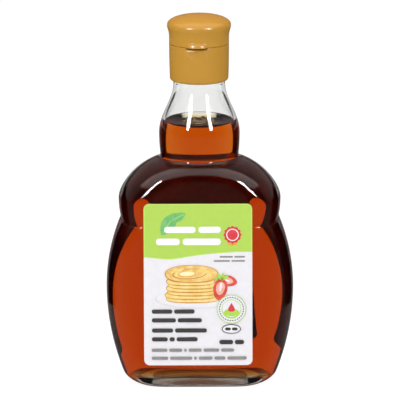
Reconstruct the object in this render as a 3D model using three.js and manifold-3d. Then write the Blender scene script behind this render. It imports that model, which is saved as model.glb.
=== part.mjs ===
// A glass flask of maple syrup with a moulded flip-top cap, standing upright.
//
// The flask is flat at the front and back and round at the sides. From the base up it has a
// long belly, a pinched waist, a round bulb whose shoulder falls in to a creased neck foot,
// and a neck that swells before it tapers to the finish inside the cap.
// Units are millimetres, +Z is up, the front label faces -Y, and the origin is the centre of
// the footprint on the surface that the flask stands on.
import * as THREE from "three";
import { mergeVertices } from "three/addons/utils/BufferGeometryUtils.js";
import Module from "manifold-3d";

const wasm = await Module();
wasm.setup();

// Gap between pieces that touch in the real bottle.
const GAP = 0.3;

// Glass flask: half-width along X at each named height.
const WALL = 2.8;
const NECK_THINNING = 0.9;
const THIN_FROM_Z = 94;
const THIN_TO_Z = 116;
const BELLY_R = 46.7;
const BELLY_Z = 46.9;
const BELLY_LOWER_ARC = 114.5;
const BELLY_UPPER_ARC = 89.7;
const WAIST_Z = 81.7;
const BULB_R = 40.45;
const BULB_Z = 92.3;
const BULB_LOWER_ARC = 43;
const SHOULDER_ROUNDNESS = 1.52;
const NECK_FOOT_R = 19.2;
const NECK_FOOT_Z = 112.3;
const FILLET_RISE = 3;
const FILLET_DROP = 0.9;
const NECK_SWELL_R = 20.1;
const NECK_SWELL_Z = 125.2;
const NECK_TOP_R = 12.9;
const NECK_TOP_Z = 150.5;
const FINISH_R = 12.4;
const MOUTH_Z = 167.6;

// Half-depth along Y, and how square the plan section is: 2 is an ellipse.
const PANEL_DEPTH = 26;
const PANEL_TOP_Z = 104.5;
const PANEL_SQUARENESS = 9;
const SQUARE_UP_TO_Z = 94;

// Heel corner, bearing ring and push-up of the base.
const HEEL_WIDTH = 9.6;
const HEEL_HEIGHT = 4.9;
const HEEL_DEPTH = 2.2;
const BEARING_RING = 0.86;
const PUSH_UP = 1.3;
const FLOOR_Z = 3.6;
const FLOOR_CORNER = 6;

// Syrup level, and the labels on the two flat panels. The back one was stuck on a little askew.
const FILL_Z = 129.2;
const LABEL_THICKNESS = 0.25;
const LABEL_CORNER = 2.8;
const LABELS = [
  { node: "front_label", face: -1, centreX: -0.9, width: 54, bottomZ: 11.6, topZ: 94, tilt: 0 },
  { node: "back_label", face: 1, centreX: 1.4, width: 48, bottomZ: 15.4, topZ: 101, tilt: 3.2 },
];

// Flip-top cap: a skirt with a closed deck and a domed lid, turned a little on the neck.
const CAP_TURN = THREE.MathUtils.degToRad(-5);
const SKIRT_BOTTOM_Z = 151.6;
const SKIRT_BOTTOM_R = 14.55;
const SKIRT_TOP_R = 14.93;
const SKIRT_CORNER = 1.5;
const SKIRT_BORE = 13.2;
const PARTING_Z = 170.4;
const DECK_UNDERSIDE_Z = MOUTH_Z + GAP;
const LID_WAIST_Z = 173.4;
const RIM_UNDERSIDE_Z = 178.4;
const RIM_UNDERSIDE_R = 15.85;
const RIM_Z = 179.6;
const RIM_R = 15.98;
const DOME_HEIGHT = 5.1;
const DOME_ROUNDNESS = 2.2;
const THUMB_LIP = { halfWidth: 6.6, reach: 1.3, height: 3 };
const THUMB_RECESS = { halfWidth: 6.2, drop: 6.9, depth: 1.1, lowerDepth: 0.25 };
const HINGE = { width: 9, height: 5.4, thickness: 0.9, web: 0.5, webHeight: 1.4 };

const FLASK_SIDES = 36;
const CAP_SIDES = 40;

const { abs, cos, sin, sqrt, PI, min, max, sign } = Math;
const sagitta = (radius, chord) => radius - sqrt(radius * radius - chord * chord);
const quarter = (t, power = 2) => max(0, 1 - t ** power) ** (1 / power);
const clamp01 = (t) => min(1, max(0, t));

// Evenly spaced values from start to end, both included.
const steps = (start, end, count) =>
  Array.from({ length: count + 1 }, (_, i) => start + ((end - start) * i) / count);

// Outer radius of the neck: it swells above its foot and then tapers in a smooth S.
function neckRadius(z) {
  if (z < NECK_SWELL_Z) {
    const fall = (NECK_SWELL_Z - z) / (NECK_SWELL_Z - NECK_FOOT_Z);
    return NECK_SWELL_R - (NECK_SWELL_R - NECK_FOOT_R) * fall * fall;
  }
  const rise = clamp01((z - NECK_SWELL_Z) / (NECK_TOP_Z - NECK_SWELL_Z));
  return NECK_TOP_R + ((NECK_SWELL_R - NECK_TOP_R) * (1 + cos(PI * rise))) / 2;
}

// The crease between shoulder and neck sits a little lower on an inner wall.
const creaseHeight = (inset) => NECK_FOOT_Z - 0.8 * inset;

// The wall thins by a smooth step from the shoulder to the neck, on inner surfaces only.
function wallInset(z, inset) {
  if (inset <= 0) return inset;
  const t = clamp01((z - THIN_FROM_Z) / (THIN_TO_Z - THIN_FROM_Z));
  return inset - NECK_THINNING * t * t * (3 - 2 * t);
}

// Half-width of the flask at height z, set in from the outer surface by inset.
function halfWidth(z, inset) {
  const crease = creaseHeight(inset);
  if (z >= crease) return neckRadius(z) - wallInset(z, inset);
  if (z >= BULB_Z) {
    const foot = neckRadius(crease);
    const t = (z - BULB_Z) / (crease - BULB_Z);
    return foot + (BULB_R - foot) * quarter(t, SHOULDER_ROUNDNESS) - wallInset(z, inset);
  }
  if (z >= WAIST_Z) return BULB_R - sagitta(BULB_LOWER_ARC, BULB_Z - z) - wallInset(z, inset);
  const arc = z > BELLY_Z ? BELLY_UPPER_ARC : BELLY_LOWER_ARC;
  return BELLY_R - sagitta(arc, abs(z - BELLY_Z)) - wallInset(z, inset);
}

// Half-depth: flat panels up to PANEL_TOP_Z, then a quarter round in to the neck.
function halfDepth(z, inset) {
  const crease = creaseHeight(inset);
  if (z >= crease) return neckRadius(z) - wallInset(z, inset);
  const foot = neckRadius(crease);
  const t = clamp01((z - PANEL_TOP_Z) / (crease - PANEL_TOP_Z));
  return foot + (PANEL_DEPTH - foot) * quarter(t) - wallInset(z, inset);
}

// Plan section: y = depth * sqrt(1 - |x / width| ^ squareness), from square panels to a circle.
function squareness(z, inset) {
  const t = clamp01((z - SQUARE_UP_TO_Z) / (creaseHeight(inset) - SQUARE_UP_TO_Z));
  return PANEL_SQUARENESS + (2 - PANEL_SQUARENESS) * t;
}

// One ring of the flask, rounded in at its lower edge by an elliptical corner.
function ring(z, inset, corner) {
  const t = corner ? clamp01(1 - (z - corner.z) / corner.height) : 0;
  const shrink = 1 - quarter(t);
  const flat = corner ? clamp01(1 - (z - corner.z) / corner.depth) : 0;
  return {
    z,
    a: halfWidth(z, inset) - (corner ? corner.width * shrink : 0),
    b: halfDepth(z, inset) - (corner ? corner.depth * (1 - quarter(flat)) : 0),
    p: squareness(z, inset),
  };
}

const scaledRing = (source, scale, z) => ({ ...source, z, a: source.a * scale, b: source.b * scale });

// Heights where the walls get a ring: closer together where they curve most.
function wallHeights(inset, floorZ, topZ) {
  const crease = creaseHeight(inset);
  const shoulder = steps(0, PI / 2, 7).map((t) => BULB_Z + (crease - BULB_Z) * sin(t));
  const stops = [
    ...steps(floorZ + FLOOR_CORNER, BELLY_Z, 5),
    ...steps(BELLY_Z, WAIST_Z, 4).slice(1),
    ...steps(WAIST_Z, BULB_Z, 2).slice(1),
    ...shoulder.slice(1, -1),
    ...steps(crease + FILLET_RISE, NECK_SWELL_Z, 2).slice(1),
    ...steps(NECK_SWELL_Z, NECK_TOP_Z, 6).slice(1),
  ];
  return [...stops.filter((z) => z < topZ - 0.5), topZ];
}

// Rings of the concave fillet at the neck foot: a quadratic curve from just below the crease to
// a little above it, with the crease itself as its middle control point.
function filletRings(inset) {
  const crease = creaseHeight(inset);
  const [low, mid, high] = [crease - FILLET_DROP, crease, crease + FILLET_RISE].map((z) => ring(z, inset));
  return steps(0, 1, 3).map((t) => {
    const mix = (key) => (1 - t) ** 2 * low[key] + 2 * t * (1 - t) * mid[key] + t * t * high[key];
    return { z: mix("z"), a: mix("a"), b: mix("b"), p: mix("p") };
  });
}

// Rings at the given heights, with the fillet in place of what lies round the crease.
function filletedRings(heights, inset, corner) {
  const crease = creaseHeight(inset);
  const low = heights.filter((z) => z < crease - FILLET_DROP - 0.1).map((z) => ring(z, inset, corner));
  const high = heights.filter((z) => z > crease + FILLET_RISE + 0.1).map((z) => ring(z, inset, corner));
  return [...low, ...filletRings(inset), ...high];
}

// Corner heights, spaced by angle so that the round stays even.
const cornerHeights = (z, height, count) =>
  steps(0, PI / 2, count).slice(0, -1).map((t) => z + height * (1 - cos(t)));

// Turns a row of rings into a closed body: a lathe whose vertices are moved onto each ring's
// own section. Rings named with a and b of 0 are the poles.
function loft(rings, sides) {
  const profile = rings.map((r) => new THREE.Vector2(max(r.a, 0), r.z));
  const lathe = new THREE.LatheGeometry(profile, sides);
  const place = lathe.attributes.position;
  for (let i = 0; i < place.count; i += 1) {
    const r = rings[i % rings.length];
    const turn = (2 * PI * Math.floor(i / rings.length)) / sides;
    const u = cos(turn);
    const v = sin(turn);
    const side = abs(v) < 1e-9 ? 0 : sign(v) * sqrt(max(0, 1 - abs(u) ** r.p));
    place.setXYZ(i, r.a * u, r.b * side, r.z);
  }
  return lathe;
}

// Merges shared vertices and gives a solid for cutting and joining.
function solidOf(geometry) {
  const bare = geometry.clone();
  bare.deleteAttribute("normal");
  bare.deleteAttribute("uv");
  const merged = mergeVertices(bare, 1e-3);
  const index = merged.index.array;
  const points = merged.attributes.position.array;
  const kept = [];
  for (let i = 0; i < index.length; i += 3) {
    const [a, b, c] = [index[i], index[i + 1], index[i + 2]];
    if (a !== b && b !== c && c !== a) kept.push(a, b, c);
  }
  let volume = 0;
  const corner = (i) => new THREE.Vector3().fromArray(points, 3 * i);
  for (let i = 0; i < kept.length; i += 3) {
    volume += corner(kept[i]).dot(corner(kept[i + 1]).cross(corner(kept[i + 2])));
  }
  if (volume < 0) kept.reverse();
  return new wasm.Manifold(new wasm.Mesh({
    numProp: 3, vertProperties: new Float32Array(points), triVerts: new Uint32Array(kept),
  }));
}

// A solid back as triangles, with its shading normals.
function geometryOf(solid) {
  const { vertProperties, triVerts } = solid.getMesh();
  const geometry = new THREE.BufferGeometry();
  geometry.setAttribute("position", new THREE.BufferAttribute(new Float32Array(vertProperties), 3));
  geometry.setIndex(new THREE.BufferAttribute(new Uint32Array(triVerts), 1));
  geometry.computeVertexNormals();
  return geometry;
}

const group = new THREE.Group();

// Adds one named piece with its own material.
function addPiece(name, solid, look, turn = 0) {
  const mesh = new THREE.Mesh(geometryOf(solid), new THREE.MeshStandardMaterial(look));
  mesh.name = name;
  mesh.rotation.z = turn;
  group.add(mesh);
}

const GLASS = { color: 0xe9eceb, roughness: 0.05, metalness: 0, transparent: true, opacity: 0.35 };
const SYRUP = { color: 0x8a2f05, roughness: 0.1, metalness: 0 };
const CAP_PLASTIC = { color: 0xd09c42, roughness: 0.35, metalness: 0 };
const PAPER = { color: 0xf2f2f4, roughness: 0.5, metalness: 0 };

const HEEL = { z: 0, width: HEEL_WIDTH, height: HEEL_HEIGHT, depth: HEEL_DEPTH };
const INNER_HEEL = { z: FLOOR_Z, width: FLOOR_CORNER, height: FLOOR_CORNER, depth: FLOOR_CORNER };

// Outer skin of the flask from its bearing ring to topZ.
function outerRings(inset, topZ) {
  const heights = [...cornerHeights(0, HEEL_HEIGHT, 4), HEEL_HEIGHT, ...wallHeights(0, 0, topZ)];
  return filletedRings(heights, inset, HEEL);
}

// Inner skin from the floor of the hollow to topZ, set in by inset.
function innerRings(inset, floorZ, topZ) {
  const corner = { ...INNER_HEEL, z: floorZ };
  const heights = [...cornerHeights(floorZ, FLOOR_CORNER, 4), ...wallHeights(inset, floorZ, topZ)];
  return filletedRings(heights, inset, corner);
}

const pole = (z) => ({ z, a: 0, b: 0, p: 2 });
const circle = (z, radius) => ({ z, a: radius, b: radius, p: 2 });

// The glass: push-up base, outer wall, finish, mouth and inner wall as one closed profile.
function flask() {
  const outer = outerRings(0, NECK_TOP_Z);
  const inner = innerRings(WALL, FLOOR_Z, NECK_TOP_Z);
  const foot = outer[0];
  const mouth = FINISH_R - WALL + NECK_THINNING;
  return loft([
    pole(PUSH_UP),
    scaledRing(foot, 0.5, PUSH_UP * 0.8),
    scaledRing(foot, BEARING_RING, 0),
    ...outer,
    circle(NECK_TOP_Z + 1.5, FINISH_R),
    circle(MOUTH_Z, FINISH_R),
    circle(MOUTH_Z, mouth),
    circle(NECK_TOP_Z + 1.5, mouth),
    ...inner.reverse(),
    scaledRing(inner[inner.length - 1], 0.5, FLOOR_Z + 0.4),
    pole(FLOOR_Z + 0.6),
  ], FLASK_SIDES);
}

// The syrup: what the hollow holds up to the fill line.
function syrup() {
  const floorZ = FLOOR_Z + GAP;
  const skin = innerRings(WALL + GAP, floorZ, FILL_Z);
  return loft([
    pole(floorZ + 0.6),
    scaledRing(skin[0], 0.5, floorZ + 0.4),
    ...skin,
    pole(FILL_Z),
  ], FLASK_SIDES);
}

// A solid flask grown by the given amount past the outer skin, to shape a label against.
function grownFlask(growth) {
  const skin = outerRings(-growth, NECK_TOP_Z);
  return solidOf(loft([pole(0), ...skin, pole(NECK_TOP_Z)], FLASK_SIDES));
}

// Rounded rectangle in the XZ plane, pushed out along face from the middle of the flask.
function labelBlank({ face, centreX, width, bottomZ, topZ, tilt }) {
  const left = -width / 2;
  const right = width / 2;
  const r = LABEL_CORNER;
  const shape = new THREE.Shape();
  shape.moveTo(left + r, bottomZ);
  shape.lineTo(right - r, bottomZ);
  shape.absarc(right - r, bottomZ + r, r, -PI / 2, 0);
  shape.lineTo(right, topZ - r);
  shape.absarc(right - r, topZ - r, r, 0, PI / 2);
  shape.lineTo(left + r, topZ);
  shape.absarc(left + r, topZ - r, r, PI / 2, PI);
  shape.lineTo(left, bottomZ + r);
  shape.absarc(left + r, bottomZ + r, r, PI, 1.5 * PI);
  const depth = 2 * PANEL_DEPTH;
  const blank = new THREE.ExtrudeGeometry(shape, { depth, bevelEnabled: false, curveSegments: 4 });
  blank.translate(0, -(bottomZ + topZ) / 2, 0);
  blank.rotateZ(THREE.MathUtils.degToRad(tilt));
  blank.translate(centreX, (bottomZ + topZ) / 2, 0);
  blank.rotateX(PI / 2);
  blank.translate(0, face < 0 ? 0 : depth, 0);
  return solidOf(blank);
}

// Plain lathe of a cap profile, upright.
function capLathe(points) {
  const lathe = new THREE.LatheGeometry(points.map(([r, z]) => new THREE.Vector2(r, z)), CAP_SIDES);
  lathe.rotateX(PI / 2);
  return solidOf(lathe);
}

// Outer radius of the skirt: nearly straight, with a little draft towards the bottom.
function skirtRadius(z) {
  const t = clamp01((PARTING_Z - z) / (PARTING_Z - SKIRT_BOTTOM_Z));
  return SKIRT_TOP_R - (SKIRT_TOP_R - SKIRT_BOTTOM_R) * t * t;
}

// Skirt and deck, with the shallow round finger recess under the thumb lip.
function capBase() {
  const topZ = PARTING_Z - GAP / 2;
  const corner = steps(0, PI / 2, 3).map((t) => {
    const z = SKIRT_BOTTOM_Z + SKIRT_CORNER * (1 - cos(t));
    return [skirtRadius(z) - SKIRT_CORNER * (1 - sin(t)), z];
  });
  const side = steps(SKIRT_BOTTOM_Z + SKIRT_CORNER, topZ, 3).slice(1).map((z) => [skirtRadius(z), z]);
  const skirt = capLathe([
    [0, DECK_UNDERSIDE_Z], [SKIRT_BORE, DECK_UNDERSIDE_Z], [SKIRT_BORE, SKIRT_BOTTOM_Z + 0.6],
    [SKIRT_BORE + 0.2, SKIRT_BOTTOM_Z], ...corner.slice(1), ...side, [0, topZ],
  ]);
  const { halfWidth: half, drop, depth, lowerDepth } = THUMB_RECESS;
  const outline = new THREE.CylinderGeometry(1, 1, SKIRT_TOP_R, 24);
  outline.scale(half, 1, drop);
  outline.translate(0, -SKIRT_TOP_R, PARTING_Z);
  const recessFloor = capLathe([
    [0, PARTING_Z - drop], [SKIRT_TOP_R - lowerDepth, PARTING_Z - drop],
    [SKIRT_TOP_R - depth, PARTING_Z], [0, PARTING_Z],
  ]);
  return skirt.subtract(solidOf(outline).subtract(recessFloor));
}

// Domed lid with a rolled rim, and the lens-shaped thumb lip at its front edge.
function capLid() {
  const bottomZ = PARTING_Z + GAP / 2;
  const sweep = steps(0, 1, 4).map((t) => [
    SKIRT_TOP_R + (RIM_UNDERSIDE_R - SKIRT_TOP_R) * t * t,
    LID_WAIST_Z + (RIM_UNDERSIDE_Z - LID_WAIST_Z) * t,
  ]);
  const dome = steps(0, PI / 2, 7).slice(0, -1).map((t) => {
    const lift = sin(t) ** (2 / DOME_ROUNDNESS);
    return [RIM_R * cos(t) ** (2 / DOME_ROUNDNESS), RIM_Z + DOME_HEIGHT * lift];
  });
  const lid = capLathe([
    [0, bottomZ], [SKIRT_TOP_R, bottomZ], ...sweep, ...dome, [0, RIM_Z + DOME_HEIGHT],
  ]);
  const lens = new THREE.SphereGeometry(1, 20, 12);
  lens.scale(THUMB_LIP.halfWidth, THUMB_LIP.reach * 2, THUMB_LIP.height);
  lens.translate(0, -SKIRT_TOP_R + THUMB_LIP.reach, bottomZ);
  const below = new THREE.BoxGeometry(4 * SKIRT_TOP_R, 4 * SKIRT_TOP_R, 2 * THUMB_LIP.height);
  below.translate(0, 0, bottomZ - THUMB_LIP.height);
  return lid.add(solidOf(lens).subtract(solidOf(below)));
}

// Bow-tie hinge strap at the back of the cap: two pads joined by a thin web, clear of the skirt.
function lidHinge() {
  const { width, height, thickness, web, webHeight } = HINGE;
  const inner = skirtRadius(PARTING_Z) + GAP;
  const bend = (depth, tall) => {
    const arc = width / inner / 2;
    const section = new THREE.Shape();
    section.absarc(0, 0, inner, PI / 2 - arc, PI / 2 + arc, false);
    section.absarc(0, 0, inner + depth, PI / 2 + arc, PI / 2 - arc, true);
    const strap = new THREE.ExtrudeGeometry(section, { depth: tall, bevelEnabled: false, curveSegments: 6 });
    strap.translate(0, 0, PARTING_Z - tall / 2);
    return solidOf(strap);
  };
  const gap = new THREE.BoxGeometry(4 * width, 4 * inner, webHeight);
  gap.translate(0, 0, PARTING_Z);
  return bend(thickness, height).subtract(solidOf(gap)).add(bend(web, height));
}

addPiece("bottle_glass", solidOf(flask()), GLASS);
addPiece("syrup", solidOf(syrup()), SYRUP);
const paperBed = grownFlask(GAP);
const paperSkin = grownFlask(GAP + LABEL_THICKNESS);
for (const label of LABELS) {
  addPiece(label.node, labelBlank(label).intersect(paperSkin).subtract(paperBed), PAPER);
}
addPiece("cap_base", capBase(), CAP_PLASTIC, CAP_TURN);
addPiece("cap_lid", capLid(), CAP_PLASTIC, CAP_TURN);
addPiece("lid_hinge", lidHinge(), CAP_PLASTIC, CAP_TURN);

export default group;
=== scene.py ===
"""A flask of dark amber syrup with a flip-top cap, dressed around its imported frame."""

import math

import bpy
import numpy as np
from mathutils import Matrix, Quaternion, Vector


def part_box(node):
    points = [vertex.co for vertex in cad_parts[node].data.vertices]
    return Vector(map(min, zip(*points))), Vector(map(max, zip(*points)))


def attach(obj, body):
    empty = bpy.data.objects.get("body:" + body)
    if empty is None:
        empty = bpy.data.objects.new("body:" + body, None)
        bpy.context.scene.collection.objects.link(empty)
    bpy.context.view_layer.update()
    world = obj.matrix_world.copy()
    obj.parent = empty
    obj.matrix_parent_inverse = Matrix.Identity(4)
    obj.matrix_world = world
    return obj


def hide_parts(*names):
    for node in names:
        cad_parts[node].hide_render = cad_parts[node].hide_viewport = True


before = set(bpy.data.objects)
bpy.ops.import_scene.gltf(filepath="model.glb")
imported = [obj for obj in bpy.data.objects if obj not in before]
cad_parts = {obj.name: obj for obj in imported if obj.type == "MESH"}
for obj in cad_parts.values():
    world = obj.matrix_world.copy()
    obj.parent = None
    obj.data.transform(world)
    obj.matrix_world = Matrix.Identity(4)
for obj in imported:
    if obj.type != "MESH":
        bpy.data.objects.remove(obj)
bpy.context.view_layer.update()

bl_info = {
    "name": "Syrup Flask",
    "version": (1, 0, 0),
    "blender": (4, 5, 0),
    "location": "View3D > Sidebar > Syrup Flask",
    "description": "Builds a glass flask of syrup with paper labels and a flip-top cap",
    "category": "Add Mesh",
}

MM = 0.001

# Outline of the flask, in metres, the same named sizes as the solids. Only FILLET_RISE differs,
# by 1 mm, because the lower fillet fits the neck foot better.
BELLY_R = 46.7 * MM
BELLY_Z = 46.9 * MM
BELLY_LOWER_ARC = 114.5 * MM
BELLY_UPPER_ARC = 89.7 * MM
WAIST_Z = 81.7 * MM
BULB_R = 40.45 * MM
BULB_Z = 92.3 * MM
BULB_LOWER_ARC = 43 * MM
SHOULDER_ROUNDNESS = 1.52
NECK_FOOT_R = 19.2 * MM
NECK_FOOT_Z = 112.3 * MM
NECK_SWELL_R = 20.1 * MM
NECK_SWELL_Z = 125.2 * MM
NECK_TOP_R = 12.9 * MM
NECK_TOP_Z = 150.5 * MM
FINISH_R = 12.4 * MM
FINISH_STEP = 1.5 * MM
CREASE_DROP = 0.8
NECK_THINNING = 0.9 * MM
THIN_FROM_Z = 94 * MM
THIN_TO_Z = 116 * MM
FILLET_RISE = 2 * MM
FILLET_DROP = 0.9 * MM
PANEL_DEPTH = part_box("bottle_glass")[1][1]
PANEL_TOP_Z = 104.5 * MM
PANEL_SQUARENESS = 9
SQUARE_UP_TO_Z = 94 * MM
HEEL_WIDTH = 9.6 * MM
HEEL_HEIGHT = 4.9 * MM
HEEL_DEPTH = 2.2 * MM
BEARING_RING = 0.86
BEARING_EDGE = 0.93
PUSH_UP = 1.3 * MM
FLOOR_Z = 3.6 * MM
FLOOR_CORNER = 6 * MM
MOUTH_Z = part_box("bottle_glass")[1][2]
MOUTH_OUTER_ROUND = 0.8 * MM
MOUTH_INNER_ROUND = 0.6 * MM
FILL_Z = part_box("syrup")[1][2]

# Cap, the same named sizes as the solids.
CAP_TURN = math.radians(-5)
SKIRT_BOTTOM_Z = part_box("cap_base")[0][2]
SKIRT_BOTTOM_R = 14.55 * MM
SKIRT_TOP_R = 14.93 * MM
SKIRT_CORNER = 1.5 * MM
SKIRT_BORE = 13.2 * MM
PARTING_Z = 170.4 * MM
DECK_UNDERSIDE_Z = MOUTH_Z + 0.3 * MM
LID_WAIST_Z = 173.4 * MM
RIM_UNDERSIDE_Z = 178.4 * MM
RIM_UNDERSIDE_R = 15.85 * MM
RIM_Z = 179.6 * MM
RIM_R = 15.98 * MM
DOME_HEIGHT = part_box("cap_lid")[1][2] - RIM_Z
DOME_ROUNDNESS = 2.2

# Finger recess and thumb lip of the cap.
RECESS_HALF_WIDTH = 6.2 * MM
RECESS_HEIGHT = 6.9 * MM
RECESS_SLOPE = 0.32 * MM
NOTCH_DEPTH = 1.3 * MM
LIP_HALF_WIDTH = 6.6 * MM
LIP_HALF_HEIGHT = 3 * MM
LIP_SINK = 1.2 * MM
LIP_SWELL = 2.7 * MM

# Labels. The corner, the step along outlines and the wave are in millimetres.
PAPER_THICKNESS = 0.12 * MM
PAPER_LIFT = PAPER_THICKNESS + 0.03 * MM
PAPER_RINGS = 16
INK_GAP = 0.03 * MM
INK_LIFT = 0.012 * MM
LABEL_CORNER = 2.8
OUTLINE_STEP = 0.9
WAVE_Z = 14.1
WAVE_RISE = 2.5
INKS = {
    "paper": ("#ececf1", "#e8e8ed"),
    "glue_side": ("#d9d4cc", "#cfc9c0"),
    "lime": ("#b4db55", "#b2d855"),
    "lime_rim": ("#c0ea66", "#bce75e"),
    "leaf": ("#6bbd6e", "#7fca76"),
    "leaf_vein": ("#a5dc70", "#a5dc70"),
    "white": ("#f8f8fb", "#f4f4f8"),
    "red": ("#d92f3c", "#e2404a"),
    "gold": ("#e8a52e", "#eeb445"),
    "black": ("#3a3838", "#444242"),
    "grey": ("#8b8888", "#979494"),
    "pale_grey": ("#dcdcdf", "#e6e6ea"),
    "cake_edge": ("#f3cf6e", "#f8e19a"),
    "cake_brown": ("#c8853a", "#dba04e"),
    "cake_top": ("#f4d98c", "#e9b95c"),
    "butter": ("#fbf0b0", "#fdf6cc"),
    "berry": ("#d63a32", "#e4574a"),
    "berry_pale": ("#f2a48f", "#f6c0ae"),
    "apple_green": ("#a8d94c", "#b4e05a"),
}
INK_ORDER = list(INKS)

# Mesh steps. The mould stipples the underside of the flask, its first UNDER_RINGS rows. The steps
# under the foot and across the basin are shares of the way out from the axis.
FLASK_TURNS = 256
CAP_TURNS = 288
OUTER_ROWS = 150
INNER_ROWS = 130
CORNER_ROWS = 14
UNDER_RINGS = 8
FILLET_ROWS = 22
UNDER_STEPS = (0.04, 0.2, 0.4, 0.6, 0.75)
BASIN_STEPS = (0.8, 0.5, 0.25, 0.04)
BASIN_RISE = 0.6 * MM
MENISCUS_STEPS = np.array([0.15, 0.35, 0.6, 0.9, 1.3, 1.8, 2.4, 3.2, 4.5, 6.5, 9, 12, 15]) * MM

# Bubbles: the golden angle from one to the next, in radians, and the golden ratio's fraction, which
# spreads their sizes evenly.
GOLDEN_TURN = 2.39996
GOLDEN_SHARE = 0.618

# Stage. The floor is shaded inside the ellipse that the foot stands on. A ray that has been
# refracted more than THROUGH_GLASS times has crossed the bottle.
FOOT_HALF_WIDTH = 46 * MM
FOOT_HALF_DEPTH = 26.5 * MM
FLAG_DISTANCE = 0.17
FLAG_ANGLES = (38, 80)
FLAG_HEIGHTS = (0.0005, 0.12)
THROUGH_GLASS = 2.5
WHITE = (1, 1, 1, 1)


def linear(hex_colour):
    """sRGB hex text to linear red, green, blue and an alpha of 1."""
    parts = [int(hex_colour[i : i + 2], 16) / 255 for i in (1, 3, 5)]
    return tuple(c / 12.92 if c <= 0.04045 else ((c + 0.055) / 1.055) ** 2.4 for c in parts) + (1.0,)


# Shape formulas


def sagitta(radius, chord):
    """How far a circle falls away from its tangent at a sideways distance: R - sqrt(R^2 - c^2)."""
    return radius - np.sqrt(np.maximum(radius**2 - chord**2, 0))


def quarter(t, power=2.0):
    """Quarter of a superellipse: (1 - t^power)^(1/power), 1 at t = 0 and 0 at t = 1."""
    return np.maximum(1 - np.clip(t, 0, 1) ** power, 0) ** (1 / power)


def neck_radius(z):
    """Neck: a parabola swells it above its foot, then a half cosine tapers it to the finish."""
    fall = (NECK_SWELL_Z - z) / (NECK_SWELL_Z - NECK_FOOT_Z)
    swell = NECK_SWELL_R - (NECK_SWELL_R - NECK_FOOT_R) * fall**2
    rise = np.clip((z - NECK_SWELL_Z) / (NECK_TOP_Z - NECK_SWELL_Z), 0, 1)
    taper = NECK_TOP_R + (NECK_SWELL_R - NECK_TOP_R) * (1 + np.cos(np.pi * rise)) / 2
    return np.where(z < NECK_SWELL_Z, swell, taper)


def crease_height(inset):
    """The crease at the neck foot sits lower on an inner wall."""
    return NECK_FOOT_Z - CREASE_DROP * inset


def wall_inset(z, inset):
    """The wall thins by a smooth step from the shoulder to the neck, on inner surfaces only."""
    if inset <= 0:
        return inset
    return inset - NECK_THINNING * smooth_step((z - THIN_FROM_Z) / (THIN_TO_Z - THIN_FROM_Z))


def half_width(z, inset):
    """Half-width at height z: belly arcs, bulb arc, shoulder superellipse, then the neck."""
    crease = crease_height(inset)
    foot = neck_radius(np.array(crease))
    shoulder = foot + (BULB_R - foot) * quarter((z - BULB_Z) / (crease - BULB_Z), SHOULDER_ROUNDNESS)
    bulb = BULB_R - sagitta(BULB_LOWER_ARC, BULB_Z - z)
    upper = BELLY_R - sagitta(BELLY_UPPER_ARC, z - BELLY_Z)
    lower = BELLY_R - sagitta(BELLY_LOWER_ARC, BELLY_Z - z)
    stages = [z >= crease, z >= BULB_Z, z >= WAIST_Z, z >= BELLY_Z]
    return np.select(stages, [neck_radius(z), shoulder, bulb, upper], lower) - wall_inset(z, inset)


def half_depth(z, inset):
    """Half-depth at height z: the flat panel, then a quarter round in to the neck."""
    crease = crease_height(inset)
    foot = neck_radius(np.array(crease))
    t = (z - PANEL_TOP_Z) / (crease - PANEL_TOP_Z)
    panel = foot + (PANEL_DEPTH - foot) * quarter(t)
    return np.where(z >= crease, neck_radius(z), panel) - wall_inset(z, inset)


def squareness(z, inset):
    """Exponent of the plan section: square panels below, falling to a circle at the neck."""
    t = np.clip((z - SQUARE_UP_TO_Z) / (crease_height(inset) - SQUARE_UP_TO_Z), 0, 1)
    return PANEL_SQUARENESS + (2 - PANEL_SQUARENESS) * t


def plain_rings(z, inset):
    """Rings (z, a, b, p) of a wall at the given heights."""
    return np.stack([z, half_width(z, inset), half_depth(z, inset), squareness(z, inset)], axis=1)


def wall_rings(z, inset, corner_z, corner_width, corner_height, corner_depth):
    """Rings of a wall whose lower edge is rounded by an elliptical corner, with the fillet at the
    neck foot: a quadratic curve whose middle control point is the crease."""
    rings = plain_rings(z, inset)
    rings[:, 1] -= corner_width * (1 - quarter(1 - (z - corner_z) / corner_height))
    rings[:, 2] -= corner_depth * (1 - quarter(1 - (z - corner_z) / corner_depth))
    crease = crease_height(inset)
    low, mid, high = plain_rings(np.array([crease - FILLET_DROP, crease, crease + FILLET_RISE]), inset)
    t = np.linspace(0, 1, FILLET_ROWS)[:, None]
    fillet = (1 - t) ** 2 * low + 2 * t * (1 - t) * mid + t * t * high
    below = rings[z < low[0] - 0.02 * MM]
    above = rings[z > high[0] + 0.1 * MM]
    return np.concatenate([below, fillet, above])


def section_points(rings, turns):
    """Plan section of each ring: x = a cos, y = b sign(sin) sqrt(1 - |cos|^p)."""
    angle = np.linspace(0, 2 * np.pi, turns, endpoint=False)
    u, v = np.cos(angle), np.sin(angle)
    u[np.abs(u) < 1e-12] = 0
    v[np.abs(v) < 1e-12] = 0
    z, a, b, p = (rings[:, i : i + 1] for i in range(4))
    side = np.sign(v) * np.sqrt(np.maximum(1 - np.abs(u) ** p, 0))
    return np.stack([a * u, b * side, z + 0 * u], axis=2)


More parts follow.
